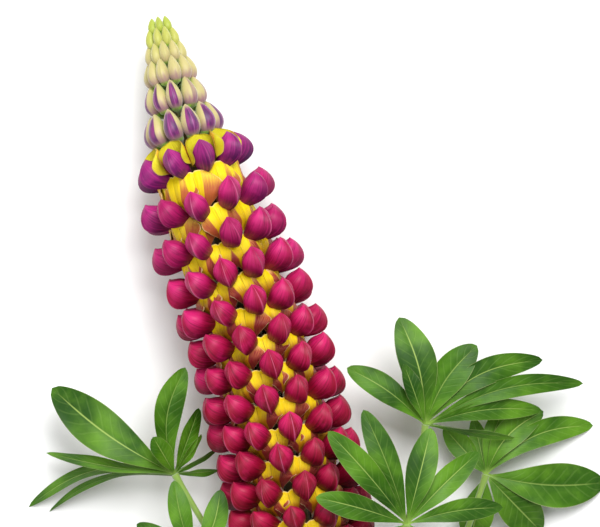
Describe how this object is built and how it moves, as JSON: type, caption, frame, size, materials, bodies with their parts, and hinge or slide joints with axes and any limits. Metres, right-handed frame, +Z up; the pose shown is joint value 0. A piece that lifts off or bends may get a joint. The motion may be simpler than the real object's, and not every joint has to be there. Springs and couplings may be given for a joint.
{
  "type": "lupin flower spike",
  "caption": "Cut lupin flower spike lying on its side: whorls of pouch-shaped blooms with upright banners below a cone of buds, on a stem with palmate leaves.",
  "frame": {"origin": "on the surface that the flower lies on, under the middle of its box", "axes": "+Z up off the surface, +Y along the flowering stem to the bud tip, +X to the right of the stem seen from above"},
  "size_m": [0.2158, 0.3016, 0.0583],
  "materials": {
    "stem": "fresh green stem, downy, satin",
    "bloom_young": "violet-purple joined wings under a yellow hood, satin",
    "bloom": "magenta-crimson wings with a pale pink ridge, yellow banner with red veins, satin",
    "bloom_old": "dark crimson wings, golden banner flushed red-brown, satin",
    "bud": "cream to lime-green closed buds with a mauve seam, satin",
    "bud_purple": "violet buds between cream banner halves, satin",
    "leaf": "mid-green leaflets with a pale rib and a thin pale edge, satin"
  },
  "bodies": {
    "root": {"stem": "stem", "bloom_whorl_01": "bloom_young", "bloom_whorl_02": "bloom", "bloom_whorl_03": "bloom", "bloom_whorl_04": "bloom", "bloom_whorl_05": "bloom", "bloom_whorl_06": "bloom", "bloom_whorl_07": "bloom", "bloom_whorl_08": "bloom", "bloom_whorl_09": "bloom_old", "bloom_whorl_10": "bloom_old", "bloom_whorl_11": "bloom_old", "bloom_whorl_12": "bloom_old", "bloom_whorl_13": "bloom_old", "bud_whorl_1": "bud", "bud_whorl_2": "bud_purple", "bud_tip": "bud", "leaf_left": "leaf", "leaf_left_low": "leaf", "leaf_right_front": "leaf", "leaf_right_back": "leaf", "leaf_right_far": "leaf"}
  },
  "joints": []
}
